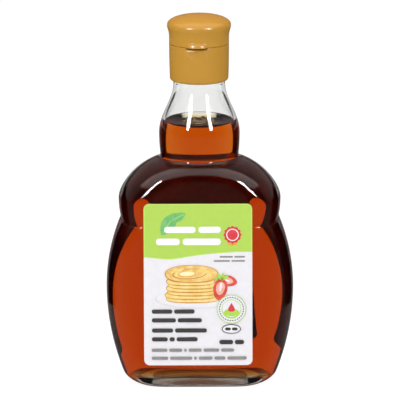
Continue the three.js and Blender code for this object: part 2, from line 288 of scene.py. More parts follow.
def heights(low, high, count, inset):
    """Wall heights from low to high, with extra rings close to each crease and corner."""
    fillet = crease_height(inset) - FILLET_DROP
    marks = [low, BELLY_Z, WAIST_Z, BULB_Z, fillet, NECK_SWELL_Z, NECK_TOP_Z]
    marks = [m for m in marks if low <= m < high - 2 * MM] + [high]
    parts = []
    for a, b in zip(marks[:-1], marks[1:]):
        n = max(4, round(count * (b - a) / (high - low)))
        even = np.linspace(0, 1, n, endpoint=False)
        parts.append(a + (b - a) * (1 - np.cos(np.pi * even)) / 2)
    return np.concatenate(parts + [[high]])


def corner_heights(z, height):
    """Heights up a rounded corner, spaced evenly by angle."""
    return z + height * (1 - np.cos(np.linspace(0, np.pi / 2, CORNER_ROWS, endpoint=False)))


def smooth_step(t):
    """3t^2 - 2t^3 between 0 and 1."""
    t = np.clip(t, 0, 1)
    return t * t * (3 - 2 * t)


# Mesh making


def new_mesh(name, points, faces, materials, face_material=None, smooth=True):
    """One mesh object at the origin from points and a list of face arrays."""
    mesh = bpy.data.meshes.new(name)
    mesh.from_pydata(points.reshape(-1, 3).tolist(), [], [f for part in faces for f in part.tolist()])
    for material in materials:
        mesh.materials.append(material)
    if face_material is not None:
        mesh.polygons.foreach_set("material_index", np.asarray(face_material, dtype=np.int32))
    mesh.polygons.foreach_set("use_smooth", np.full(len(mesh.polygons), smooth))
    mesh.update()
    piece = bpy.data.objects.new(name, mesh)
    bpy.context.scene.collection.objects.link(piece)
    return piece


def grid_quads(rows, columns, closed=True):
    """Quads of a grid of points, row by row, closed round its columns or open."""
    i = np.arange(rows - 1)[:, None]
    j = np.arange(columns if closed else columns - 1)[None, :]
    k = (j + 1) % columns
    quads = np.stack([i * columns + j, i * columns + k, (i + 1) * columns + k, (i + 1) * columns + j], 2)
    return quads.reshape(-1, 4)


def fan(centre, row, turns, upward):
    """Triangles from a pole to a row of points, facing up or down."""
    j = np.arange(turns)
    k = (j + 1) % turns
    first, second = (j, k) if upward else (k, j)
    return np.stack([np.full(turns, centre), row + first, row + second], 1)


def loft_parts(grid, start=0):
    """Points and faces of a closed body from rows of points, from a lower pole outwards and up to
    an upper pole. The poles are the centres of the first and last rows."""
    rows, turns = grid.shape[:2]
    poles = np.stack([grid[0].mean(axis=0), grid[-1].mean(axis=0)])
    points = np.concatenate([grid.reshape(-1, 3), poles])
    faces = [
        start + grid_quads(rows, turns),
        start + fan(rows * turns, 0, turns, False),
        start + fan(rows * turns + 1, (rows - 1) * turns, turns, True),
    ]
    return points, faces


def closed_loft(name, grid, materials, face_material=None):
    """One closed body from rows of points."""
    points, faces = loft_parts(grid)
    return new_mesh(name, points, faces, materials, face_material)


def loft_slots(rows, low_pole, high_pole):
    """Material index of each face of a closed loft on the flask, from one index for each row."""
    body = np.repeat(np.asarray(rows), FLASK_TURNS)
    ends = [np.full(FLASK_TURNS, low_pole), np.full(FLASK_TURNS, high_pole)]
    return np.concatenate([body, *ends]).astype(np.int32)


def mark_sheen(piece, values):
    """Stores the attribute sheen, 1 where a point lies in the open and 0 on the glass."""
    mesh = piece.data
    layer = mesh.attributes.new("sheen", "FLOAT", "POINT")
    layer.data.foreach_set("value", np.asarray(values, dtype=np.float32))


def dress(piece, slot, *nodes):
    """Attaches a piece to the root body and hides the solids that it stands for."""
    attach(piece, "root")
    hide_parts(*nodes)


# Materials


def add_node(tree, kind, inputs=None, links=None, **settings):
    """Adds a node, sets its settings and values, and links its inputs to other nodes' outputs."""
    node = tree.nodes.new(kind)
    for key, value in settings.items():
        setattr(node, key, value)
    for key, value in (inputs or {}).items():
        node.inputs[key].default_value = value
    for key, (source, output) in (links or {}).items():
        tree.links.new(source.outputs[output], node.inputs[key])
    return node


def new_material(name):
    """An empty node material and its tree."""
    material = bpy.data.materials.new(name)
    material.use_nodes = True
    material.node_tree.nodes.clear()
    return material, material.node_tree


def noise(tree, place, scale, detail):
    """Fractal noise in the object's own coordinates, as a node and its output."""
    inputs = {"Scale": scale, "Detail": detail}
    return add_node(tree, "ShaderNodeTexNoise", inputs, {"Vector": (place, "Object")}), "Fac"


def bumps(tree, height, strength, distance):
    """A surface normal bent by a height, as a node and its output."""
    inputs = {"Strength": strength, "Distance": distance}
    return add_node(tree, "ShaderNodeBump", inputs, {"Height": height}), "Normal"


def blend(tree, first, second, factor):
    """Two colours mixed by a factor, as a node and its output."""
    return add_node(tree, "ShaderNodeMix", {6: first, 7: second}, {0: factor}, data_type="RGBA"), 2


def span(tree, value, low, high, to_low=0.0, to_high=1.0, links=None):
    """A value mapped from low..high to to_low..to_high and clamped, as a node and its output."""
    inputs = {"From Min": low, "From Max": high, "To Min": to_low, "To Max": to_high}
    return add_node(tree, "ShaderNodeMapRange", inputs, {"Value": value, **(links or {})}), 0


def calculate(tree, operation, *operands):
    """Numbers and outputs of nodes joined in turn by one operation, as a node and its output."""
    result = operands[0]
    for operand in operands[1:]:
        pair = {0: result, 1: operand}
        links = {key: value for key, value in pair.items() if isinstance(value, tuple)}
        numbers = {key: value for key, value in pair.items() if key not in links}
        result = (add_node(tree, "ShaderNodeMath", numbers, links, operation=operation), 0)
    return result


def principled(tree, inputs, links, volume=None):
    """The surface, and the volume if there is one, wired to the material's output."""
    shader = add_node(tree, "ShaderNodeBsdfPrincipled", inputs, links)
    ends = {"Surface": (shader, "BSDF")}
    if volume is not None:
        ends["Volume"] = (volume, "Volume")
    add_node(tree, "ShaderNodeOutputMaterial", links=ends)


def flint_glass(name="flint_glass", sheen="#ffffff", roughness=0.0):
    """Flint glass, blown in a two-part mould and fire polished: it is clear and very smooth, with
    a slow waviness left by the mould that bends reflections a little. The foot is stippled by the
    mould, so it is rougher. Where syrup wets the glass, a black sheen takes the mirror part away."""
    material, tree = new_material(name)
    place = add_node(tree, "ShaderNodeTexCoord")
    normal = bumps(tree, noise(tree, place, 90.0, 1.0), 0.06, 0.4 * MM)
    inputs = {
        "Base Color": linear("#fbfcfb"),
        "Roughness": roughness,
        "IOR": 1.5,
        "Specular Tint": linear(sheen),
        "Transmission Weight": 1.0,
    }
    principled(tree, inputs, {"Normal": normal})
    return material


def amber_syrup(settings):
    """Boiled maple sap, a clear dark amber liquid with an index near 1.47. It absorbs blue most,
    then green, so thin parts look golden and deep parts red-brown. Where it wets the glass the two
    indices nearly match, so the attribute sheen takes the mirror part away there."""
    material, tree = new_material("maple_syrup")
    sheen = add_node(tree, "ShaderNodeAttribute", attribute_name="sheen")
    inputs = {"Color": linear(settings.colour_hex), "Density": settings.density}
    volume = add_node(tree, "ShaderNodeVolumeAbsorption", inputs)
    inputs = {"Base Color": WHITE, "Roughness": 0.0, "IOR": 1.47, "Transmission Weight": 1.0}
    principled(tree, inputs, {"Specular Tint": (sheen, "Color")}, volume)
    return material


def cap_plastic(settings):
    """Polypropylene, injection moulded from a mustard-gold masterbatch: an even colour with a
    satin gloss and a very fine orange-peel texture from the mould."""
    material, tree = new_material("moulded_polypropylene")
    place = add_node(tree, "ShaderNodeTexCoord")
    peel = noise(tree, place, 900.0, 2.0)
    flow = noise(tree, place, 70.0, 2.0)
    links = {
        "Base Color": blend(tree, linear(settings.colour_hex), linear(settings.flow_hex), flow),
        "Normal": bumps(tree, peel, 0.12, 0.05 * MM),
    }
    principled(tree, {"Roughness": settings.roughness, "IOR": 1.49}, links)
    return material


def coated_paper(name, first_hex, second_hex):
    """Coated label paper with offset ink: a semi-gloss surface, faint paper fibre, and a slight
    mottle in the ink film. The mottle is drawn coarser than life so that it shows."""
    material, tree = new_material(name)
    place = add_node(tree, "ShaderNodeTexCoord")
    mottle = span(tree, noise(tree, place, 400.0, 3.0), 0.35, 0.65)
    fibre = noise(tree, place, 2500.0, 2.0)
    links = {
        "Base Color": blend(tree, linear(first_hex), linear(second_hex), mottle),
        "Normal": bumps(tree, fibre, 0.1, 0.02 * MM),
    }
    principled(tree, {"Roughness": 0.45, "IOR": 1.45}, links)
    return material


# Flask and syrup


def inner_wall(inset, floor_z, top_z):
    """Rings of the hollow from its floor to top_z, set in from the outside by inset."""
    straight = heights(floor_z + FLOOR_CORNER, top_z, INNER_ROWS, inset)
    z = np.concatenate([corner_heights(floor_z, FLOOR_CORNER), straight])
    return wall_rings(z, inset, floor_z, FLOOR_CORNER, FLOOR_CORNER, FLOOR_CORNER)


def scaled(ring, scale, z):
    """A ring shrunk towards the axis, at another height."""
    return np.array([z, ring[1] * scale, ring[2] * scale, ring[3]])


def circle(z, radius):
    """A round ring."""
    return np.array([z, radius, radius, 2.0])


def flask_grid(wall):
    """The glass as one profile: push-up, bearing ring, outer wall, finish, mouth, inner wall, floor."""
    straight = heights(HEEL_HEIGHT, NECK_TOP_Z, OUTER_ROWS, 0)
    z = np.concatenate([corner_heights(0, HEEL_HEIGHT), straight])
    outer = wall_rings(z, 0, 0, HEEL_WIDTH, HEEL_HEIGHT, HEEL_DEPTH)
    inner = inner_wall(wall, FLOOR_Z, NECK_TOP_Z)[::-1]
    foot, floor = outer[0], inner[-1]
    mouth = FINISH_R - wall + NECK_THINNING
    under = [scaled(foot, s, PUSH_UP * (1 - (s / BEARING_RING) ** 2)) for s in UNDER_STEPS]
    ring = [scaled(foot, BEARING_RING, 0), scaled(foot, BEARING_EDGE, 0)]
    finish = [
        circle(NECK_TOP_Z + FINISH_STEP, FINISH_R),
        circle(MOUTH_Z - MOUTH_OUTER_ROUND, FINISH_R),
        circle(MOUTH_Z, FINISH_R - MOUTH_OUTER_ROUND),
        circle(MOUTH_Z, mouth + MOUTH_INNER_ROUND),
        circle(MOUTH_Z - MOUTH_INNER_ROUND, mouth),
        circle(NECK_TOP_Z + FINISH_STEP, mouth),
    ]
    rings = [np.array(under + ring), outer, np.array(finish), inner, basin(floor, FLOOR_Z)]
    return section_points(np.concatenate(rings), FLASK_TURNS)


def basin(edge, z):
    """Rings across the floor of the hollow, from its edge to a low rise in the middle."""
    return np.array([scaled(edge, s, z + BASIN_RISE * (1 - s * s)) for s in BASIN_STEPS])


def syrup_grid(wall, settings):
    """The syrup: inner wall shape pushed a little into the glass, and a top with a meniscus
    that climbs the glass by a falling exponential of the distance from it."""
    floor_z = FLOOR_Z - settings.overlap
    skin = inner_wall(wall - settings.overlap, floor_z, FILL_Z + settings.meniscus)
    edge = skin[-1]
    reach = MENISCUS_STEPS
    z = FILL_Z + settings.meniscus * np.exp(-reach / settings.meniscus_width)
    top = np.stack([z, edge[1] - reach, edge[2] - reach, np.full_like(z, 2)], 1)
    return section_points(np.concatenate([basin(skin[0], floor_z)[::-1], skin, top]), FLASK_TURNS)


def bubble_points(radius, centre, turns=32, rows=14):
    """A bubble's dome on the surface: a sphere cap that starts a little below its middle."""
    t = np.linspace(math.radians(100), math.radians(3), rows)
    angle = np.linspace(0, 2 * np.pi, turns, endpoint=False)
    r, z = radius * np.sin(t)[:, None], radius * np.cos(t)[:, None]
    return np.stack([r * np.cos(angle), r * np.sin(angle), z + 0 * angle], 2) + np.asarray(centre)


def bubbles(settings, material):
    """Bubbles gathered at the middle of the surface: one large and a ring of small ones, placed by
    a golden angle spiral."""
    points, faces, count = [], [], 0
    for i in range(settings.bubbles):
        share = 1 if i == 0 else 0.34 + 0.28 * ((i * GOLDEN_SHARE) % 1)
        spread = 0 if i == 0 else 1.25 + 1.9 * math.sqrt(i / settings.bubbles)
        radius = settings.bubble_radius * share
        x = settings.bubble_radius * spread * 1.15 * math.cos(GOLDEN_TURN * i) - 0.4 * MM
        y = settings.bubble_radius * spread * 1.5 * math.sin(GOLDEN_TURN * i)
        dome, sides = loft_parts(bubble_points(radius, (x, y, FILL_Z + 0.3 * radius)), count)
        points.append(dome)
        faces += sides
        count += len(dome)
    return new_mesh("surface_bubbles", np.concatenate(points), faces, [material])


def panel_y(x, z, lift, face):
    """Surface of a panel at x and z, lifted off the glass along Y."""
    u = np.clip(np.abs(x) / half_width(z, 0), 0, 1)
    return face * (half_depth(z, 0) * np.sqrt(1 - u ** squareness(z, 0)) + lift)


# Flat shapes for print, as closed outlines in the label's own plane, in millimetres


def turned(x, z, centre, degrees):
    """Points turned about the origin and moved to a centre, as rows of x and z."""
    c, s = math.cos(math.radians(degrees)), math.sin(math.radians(degrees))
    return np.stack([centre[0] + x * c - z * s, centre[1] + x * s + z * c], 1)


def ellipse(cx, cz, rx, rz, count=48, turn=0.0, power=2.0):
    """Superellipse outline round a centre, turned by an angle in degrees."""
    t = np.linspace(0, 2 * np.pi, count, endpoint=False)
    x = rx * np.sign(np.cos(t)) * np.abs(np.cos(t)) ** (2 / power)
    z = rz * np.sign(np.sin(t)) * np.abs(np.sin(t)) ** (2 / power)
    return turned(x, z, (cx, cz), turn)


def rounded_box(x0, z0, x1, z1, r, count=8):
    """Rectangle with round corners, from lower left to upper right."""
    t = np.linspace(0, np.pi / 2, count)
    left, right, low, high = x0 + r, x1 - r, z0 + r, z1 - r
    parts = []
    for cx, cz, quarters in ((right, low, -1), (right, high, 0), (left, high, 1), (left, low, 2)):
        angle = t + quarters * np.pi / 2
        parts.append(np.stack([cx + r * np.cos(angle), cz + r * np.sin(angle)], 1))
    return resampled(np.concatenate(parts), OUTLINE_STEP)


def resampled(outline, step):
    """The same closed outline with points added where two are further apart than step."""
    out = []
    for a, b in zip(outline, np.roll(outline, -1, axis=0)):
        n = max(1, int(math.ceil(np.hypot(*(b - a)) / step)))
        out.append(a + (b - a) * np.linspace(0, 1, n, endpoint=False)[:, None])
    return np.concatenate(out)


def there_and_back(values, sign):
    """Values down one side of a shape, times a sign, and back up its other side."""
    return np.concatenate([sign * values, values[::-1][1:-1]])


def shrunk(outline, centre, rings):
    """Copies of an outline that shrink ring by ring to a centre, and that centre."""
    scales = np.linspace(1, 0, rings + 1)[:-1]
    return np.concatenate([centre + (outline - centre) * s for s in scales] + [centre[None]])


class Print:
    """Collects flat shapes in layers and lays them on a panel of the flask."""

    def __init__(self, centre_x, centre_z, face, tilt):
        self.centre = (centre_x, centre_z)
        self.face = face
        self.tilt = tilt
        self.points = []
        self.faces = []
        self.slots = []
        self.count = 0

    def place(self, flat, lift):
        """Label plane to the flask: tilt, shift to the label's centre, then on to the panel."""
        x, z = turned(flat[:, 0] * MM, flat[:, 1] * MM, self.centre, self.tilt).T
        return np.stack([x, panel_y(x, z, lift, self.face), z], 1)

    def add_faces(self, points, faces, ink):
        """Keeps points and faces of one shape with the material index of its ink."""
        self.points.append(points)
        for part in faces:
            if self.face > 0:
                part = part[:, ::-1]
            self.faces.append(part + self.count)
            self.slots.append(np.full(len(part), INK_ORDER.index(ink)))
        self.count += len(points)

    def patch(self, outline, ink, layer, rings=1, centre=None):
        """A filled outline: rings of points shrink from it to its centre, closed by a fan."""
        n = len(outline)
        centre = np.asarray(outline.mean(axis=0) if centre is None else centre)
        lift = PAPER_LIFT + (INK_GAP + layer * INK_LIFT if layer else 0)
        faces = [grid_quads(rings, n)] if rings > 1 else []
        faces.append(fan(rings * n, (rings - 1) * n, n, True))
        self.add_faces(self.place(shrunk(outline, centre, rings), lift), faces, ink)

    def sheet(self, outline):
        """The paper itself: a front, a back against the glass, and the cut edge between them."""
        self.patch(outline, "paper", 0, PAPER_RINGS)
        n = len(outline)
        front = self.place(outline, PAPER_LIFT)
        back = self.place(outline, PAPER_LIFT - PAPER_THICKNESS)
        self.add_faces(np.concatenate([back, front]), [grid_quads(2, n)], "paper")
        flat = shrunk(outline, outline.mean(axis=0), PAPER_RINGS)
        quads = grid_quads(PAPER_RINGS, n)[:, ::-1]
        faces = [quads, fan(PAPER_RINGS * n, (PAPER_RINGS - 1) * n, n, False)]
        self.add_faces(self.place(flat, PAPER_LIFT - PAPER_THICKNESS), faces, "glue_side")

    def build(self, name, materials):
        """The whole label as one mesh."""
        return new_mesh(
            name, np.concatenate(self.points), self.faces, materials, np.concatenate(self.slots)
        )


def blank_label(centre_x, low, high, width, face, tilt=0.0):
    """A sheet of paper with round corners, and its half width and half height in millimetres."""
    low, high = low / MM, high / MM
    half_w, half_h = width / MM / 2, (high - low) / 2
    label = Print(centre_x, (low + high) / 2 * MM, face, tilt)
    label.sheet(rounded_box(-half_w, -half_h, half_w, half_h, LABEL_CORNER))
    return label, half_w, half_h


def word_bars(label, x0, x1, z, height, ink, layer, words, gap=0.9):
    """A line of plain rounded bars in place of words, with the given relative lengths."""
    room = (x1 - x0) - gap * (len(words) - 1)
    x = x0
    for share in words:
        length = room * share / sum(words)
        radius = min(height, length) * 0.45
        bar = rounded_box(x, z - height / 2, x + length, z + height / 2, radius, 5)
        label.patch(bar, ink, layer)
        x += length + gap


def pancake_stack(label, cx, base_z):
    """Generic serving picture: a plate, seven pancakes, butter with syrup, and cut berries. Each
    row is an offset, two radii, a number of points, a turn, a power, and its ink, layer and rings."""
    label.patch(ellipse(cx + 3.5, base_z + 1.2, 22, 5.0, 60), "pale_grey", 2, 4)
    label.patch(ellipse(cx + 3.5, base_z + 1.7, 21, 4.6, 60), "paper", 3, 4)
    shifts = (0.4, -0.5, 0.7, -0.2, 0.5, -0.6, 0.1)
    thickness = 1.75
    for i, shift in enumerate(shifts):
        z = base_z + 1.6 + thickness * i
        half = 13.2 - 0.22 * i
        layer = 4 + 2 * i
        label.patch(ellipse(cx + shift, z, half, 2.5, 48, power=2.6), "cake_brown", layer, 3)
        edge = ellipse(cx + shift, z - 0.15, half - 0.35, 1.75, 48, power=2.8)
        label.patch(edge, "cake_edge", layer + 1, 3)
    top = base_z + 1.6 + thickness * len(shifts)
    for dx, dz, rx, rz, count, turn, power, ink, layer, rings in (
        (0, 0.2, 13.4, 4.6, 60, 0, 2.2, "cake_brown", 18, 4),
        (0, 0.35, 12.9, 4.2, 60, 0, 2.2, "cake_top", 19, 4),
        (-1.0, 0.3, 8.6, 2.7, 48, 4, 2, "cake_brown", 20, 3),
        (-0.8, 0.4, 8.1, 2.3, 48, 4, 2, "cake_top", 21, 3),
        (6.4, 1.6, 3.4, 0.7, 24, -16, 2, "cake_edge", 22, 1),
        (-7.2, 1.9, 3.6, 0.6, 24, 18, 2, "cake_edge", 22, 1),
        (-2.2, 0.1, 4.4, 1.5, 40, 3, 2, "gold", 22, 2),
        (-2.2, 0.35, 3.8, 1.2, 40, 3, 2, "butter", 23, 2),
    ):
        label.patch(ellipse(cx + dx, top + dz, rx, rz, count, turn, power), ink, layer, rings)
    berry(label, cx + 18.4, base_z + 10.6, 4.4, 76, 24)
    berry(label, cx + 14.2, base_z + 6.2, 5.6, -10, 30)


def berry(label, cx, cz, size, turn, layer):
    """A halved berry: half-width grows as the root of the distance from its leafy top and falls to
    a tip, with a pale core and three small leaves."""
    s = np.linspace(0, 1, 22)
    x = there_and_back(1.35 * size * np.sqrt(s) * (1 - s) ** 0.62, -1)
    z = size * (1 - 2 * there_and_back(s, 1))
    outline = turned(x, z, (cx, cz), turn)
    a = math.radians(turn)
    rise = size * np.array([-math.sin(a), math.cos(a)])
    top = np.array([cx, cz]) + rise
    heart = np.array([cx, cz]) + 0.25 * rise
    label.patch(outline, "berry", layer, 2, heart)
    label.patch(heart + (outline - heart) * 0.62, "berry_pale", layer + 1, 1, heart)
    label.patch(ellipse(*heart, size * 0.12, size * 0.42, 20, turn), "paper", layer + 2)
    for lean in (-50, 0, 50):
        b = math.radians(turn + lean)
        base = top + size * 0.3 * np.array([-math.sin(b), math.cos(b)]) * (1, 0.6)
        blade = ellipse(*base, size * 0.14, size * 0.36, 16, turn + lean)
        label.patch(blade, "apple_green", layer + 3)


def leaf(label, cx, cz, length, width, turn, layer):
    """A pointed leaf with a pale midrib: half-width is width times sin to the 0.8 along it."""
    s = np.linspace(0, 1, 24)
    x = length * (there_and_back(s, 1) - 0.5)
    z = there_and_back(width / 2 * np.sin(np.pi * s) ** 0.8, -1)
    label.patch(turned(x, z, (cx, cz), turn), "leaf", layer, 2, (cx, cz))
    label.patch(ellipse(cx, cz, length * 0.44, 0.22, 20, turn), "leaf_vein", layer + 1)


def rosette(label, cx, cz, radius):
    """Plain red award rosette with scallops and two gold ribbon tails."""
    for side in (-1, 1):
        tail = np.array([[0, 0], [side * 2.6, -5.4], [side * 1.1, -5.0], [side * -0.4, -5.6]])
        label.patch(resampled(tail + (cx, cz), 0.8), "gold", 3)
    t = np.linspace(0, 2 * np.pi, 96, endpoint=False)
    r = radius * (1 + 0.06 * np.cos(12 * t))
    label.patch(np.stack([cx + r * np.cos(t), cz + r * np.sin(t)], 1), "red", 4, 2)
    label.patch(ellipse(cx, cz, radius * 0.72, radius * 0.72), "white", 5)
    label.patch(ellipse(cx, cz, radius * 0.62, radius * 0.62), "red", 6)


def round_seal(label, cx, cz, radius):
    """Plain seal: a lime ring, a ring of dots and a red drop over a green field."""
    label.patch(ellipse(cx, cz, radius, radius, 64), "apple_green", 36, 2)
    label.patch(ellipse(cx, cz, radius - 0.35, radius - 0.35, 64), "paper", 37, 2)
    dots = 30
    reach = radius - 1.35
    for i in range(dots):
        a = 2 * math.pi * i / dots
        x, z = cx + reach * math.cos(a), cz + reach * math.sin(a)
        label.patch(ellipse(x, z, 0.42, 0.3, 10, math.degrees(a) + 90), "black", 38)
    inner = radius - 2.4
    label.patch(ellipse(cx, cz, inner, inner, 48), "apple_green", 38, 2)
    label.patch(ellipse(cx, cz + 0.3, inner - 0.35, inner - 0.65, 48), "paper", 39, 2)
    label.patch(ellipse(cx, cz - 1.7, inner - 1.0, 1.9, 40), "apple_green", 40)
    t = np.linspace(0, 2 * np.pi, 40, endpoint=False)
    x = 1.7 * np.sin(t) * (1 - np.cos(t)) / 1.3
    z = 2.4 * np.cos(t)
    drop = np.stack([cx - x, cz + 1.0 + z], 1)[::-1]
    label.patch(drop, "red", 41, 1, (cx, cz + 0.2))


def lime_head(label, half_w, half_h, edge, ink, layer):
    """The lime head of the label, set in from the paper's edge. Its wave is a half cosine that
    rises to the right, with a shallow Gaussian dip near its left end."""
    top = rounded_box(-half_w + edge, -half_h, half_w - edge, half_h - edge, LABEL_CORNER - edge)
    top = top[top[:, 1] > WAVE_Z + 4]
    top = top[np.argsort(np.arctan2(top[:, 1] - WAVE_Z, top[:, 0]))]
    x = np.linspace(-half_w + edge, half_w - edge, 70)
    rise = 0.5 - 0.5 * np.cos(np.pi * np.clip((x + 18) / 42, 0, 1))
    wave = WAVE_Z + WAVE_RISE * rise - 1.2 * np.exp(-(((x + 14) / 9) ** 2))
    lower = np.stack([x, wave + edge * 0.9], 1)
    outline = resampled(np.concatenate([lower, top]), OUTLINE_STEP)
    label.patch(outline, ink, layer, 20, (0, 27))


def front_print(settings):
    """Front label: lime head over a wave, plain bars for words, picture, seal and rosette. Each row
    of bars is its ends, height, thickness, ink, layer and the relative lengths."""
    label, half_w, half_h = blank_label(
        settings.front_x, settings.front_low, settings.front_high, settings.width, -1
    )
    lime_head(label, half_w, half_h, 0.0, "lime_rim", 1)
    lime_head(label, half_w, half_h, 0.55, "lime", 2)
    leaf(label, -14.6, 30.9, 13.5, 7.0, 58, 3)
    leaf(label, -9.8, 34.4, 8.5, 4.4, 28, 5)
    rosette(label, 17.2, 25.4, 4.3)
    pancake_stack(label, -3.2, -8.6)
    round_seal(label, 16.6, -12.4, 7.3)
    label.patch(ellipse(16.5, -22.6, 4.8, 2.4, 48), "black", 28)
    label.patch(ellipse(16.5, -22.6, 4.35, 2.0, 48), "paper", 29)
    for row in (
        (-16.8, 11.4, 28.0, 3.2, "white", 8, (7, 5), 1.4),
        (-20.9, 11.4, 21.9, 3.4, "white", 8, (5, 8), 1.4),
        (10.7, 23.4, 14.2, 0.85, "grey", 3, (5, 4), 0.7),
        (7.8, 23.4, 12.1, 0.85, "grey", 3, (6, 5), 0.7),
        (-23.1, -1.8, -13.6, 2.1, "black", 28, (4, 4)),
        (-23.1, 1.8, -18.1, 2.1, "black", 28, (5, 5)),
        (-23.1, 4.3, -23.3, 2.1, "black", 28, (4, 6)),
        (-23.1, -0.3, -27.8, 2.1, "black", 28, (3, 1, 4)),
        (-23.3, 17.9, -33.4, 1.6, "grey", 28, (6, 5, 1, 5, 6, 5)),
        (-23.3, 24.1, -37.5, 1.6, "grey", 28, (6, 8, 1, 5, 4, 7)),
        (10.5, 22.8, -29.3, 2.2, "black", 28, (3, 2)),
        (13.4, 19.6, -22.6, 1.5, "black", 30, (1, 1), 0.6),
    ):
        word_bars(label, *row)
    return label


def back_print(settings):
    """Back label: rows of plain grey bars, a ruled box of facts and a block of plain stripes."""
    low, high, width = settings.back_low, settings.back_high, settings.back_width
    label, half_w, half_h = blank_label(settings.back_x, low, high, width, 1, settings.back_tilt)
    head = rounded_box(-half_w + 0.6, half_h - 12, half_w - 0.6, half_h - 0.6, 2.2)
    label.patch(head, "lime", 1, 6)
    word_bars(label, -16, 16, half_h - 6.2, 3.0, "white", 2, (5, 4, 6), 1.4)
    for i in range(6):
        reach = 20 if i % 3 else 13
        word_bars(label, -22, reach, half_h - 17 - 3.2 * i, 1.1, "grey", 1, (4, 6, 3, 5, 7), 0.8)
    box_top = half_h - 37
    label.patch(rounded_box(-22, box_top - 30, 3, box_top, 0.3), "black", 1, 6)
    label.patch(rounded_box(-21.6, box_top - 29.6, 2.6, box_top - 0.4, 0.2), "paper", 2, 6)
    for i in range(8):
        word_bars(label, -20.4, 1.4, box_top - 3 - 3.4 * i, 1.1, "black", 3, (5, 2, 2), 1.6)
    for i in range(18):
        wide = 0.35 + 0.35 * ((i * 5) % 3)
        x = 7.5 + 0.85 * i
        stripe = rounded_box(x - wide / 2, box_top - 27, x + wide / 2, box_top - 12, 0.05, 3)
        label.patch(stripe, "black", 1)
    return label


# Cap


def cap_grid(profile, radius_at):
    """A lathe of (radius, z) rows turned with the cap, whose radius a function changes."""
    angle = np.linspace(0, 2 * np.pi, CAP_TURNS, endpoint=False)
    r = np.repeat(profile[:, :1], CAP_TURNS, axis=1)
    z = np.repeat(profile[:, 1:], CAP_TURNS, axis=1)
    r = radius_at(r, angle[None, :], z)
    front = angle + CAP_TURN - np.pi / 2
    return np.stack([r * np.cos(front), r * np.sin(front), z], 2)


def from_front(angle):
    """Signed angle from the middle of the thumb lip, which is at angle 0."""
    return (angle + np.pi) % (2 * np.pi) - np.pi


def skirt_radius(z):
    """Nearly straight, with a little draft that grows towards the bottom."""
    t = np.clip((PARTING_Z - z) / (PARTING_Z - SKIRT_BOTTOM_Z), 0, 1)
    return SKIRT_TOP_R - (SKIRT_TOP_R - SKIRT_BOTTOM_R) * t * t


def skirt_with_recess(r, angle, z):
    """Finger recess: inside an ellipse below the parting line the wall falls back to a slope, with a
    deeper notch under the lip that fades by a Gaussian."""
    across = SKIRT_TOP_R * np.sin(from_front(angle))
    below = (PARTING_Z - z) / RECESS_HEIGHT
    inside = (across / RECESS_HALF_WIDTH) ** 2 + below**2
    slope = RECESS_SLOPE * np.clip(1.1 - below, 0, 1) + NOTCH_DEPTH * np.exp(-((below * 8) ** 2))
    depth = slope * smooth_step((1 - inside) / 0.45)
    wall = (r > SKIRT_BORE + 0.6 * MM) & (np.abs(from_front(angle)) < np.pi / 2)
    return np.where(wall, r - depth, r)


def lid_with_lip(r, angle, z):
    """Thumb lip: the wall swells out to a lens-shaped ellipsoid above the parting line."""
    across = from_front(angle)
    up = z - PARTING_Z - 0.1 * MM
    fall = 1 - (across * SKIRT_TOP_R / LIP_HALF_WIDTH) ** 2 - (up / LIP_HALF_HEIGHT) ** 2
    swell = SKIRT_TOP_R - LIP_SINK + LIP_SWELL * np.sqrt(np.clip(fall, 0, 1))
    lip = np.where((fall > 0) & (np.abs(across) < 1), swell, 0)
    return np.where(r > 0.8 * SKIRT_TOP_R, np.maximum(r, lip), r)


def column(r, z):
    """Rows of radius and height for a lathe. Either may be one number for all rows."""
    return np.stack(np.broadcast_arrays(r, z), 1)


def cap_base_grid(gap):
    """Deck underside, bore, rounded lower edge, skirt, and deck top."""
    top = PARTING_Z - gap / 2
    t = np.linspace(0, np.pi / 2, 10)
    corner_z = SKIRT_BOTTOM_Z + SKIRT_CORNER * (1 - np.cos(t))
    corner = column(skirt_radius(corner_z) - SKIRT_CORNER * (1 - np.sin(t)), corner_z)
    z = np.linspace(SKIRT_BOTTOM_Z + SKIRT_CORNER, top - 0.15 * MM, 90)[1:]
    bore = [
        [0.3 * MM, DECK_UNDERSIDE_Z],
        [SKIRT_BORE - 0.3 * MM, DECK_UNDERSIDE_Z],
        [SKIRT_BORE, DECK_UNDERSIDE_Z - 0.3 * MM],
        [SKIRT_BORE, SKIRT_BOTTOM_Z + 0.6 * MM],
        [SKIRT_BORE + 0.15 * MM, SKIRT_BOTTOM_Z + 0.05 * MM],
    ]
    deck = column([SKIRT_TOP_R - 0.15 * MM, SKIRT_TOP_R - 4 * MM, 0.3 * MM], top)
    return cap_grid(np.concatenate([bore, corner, column(skirt_radius(z), z), deck]), skirt_with_recess)


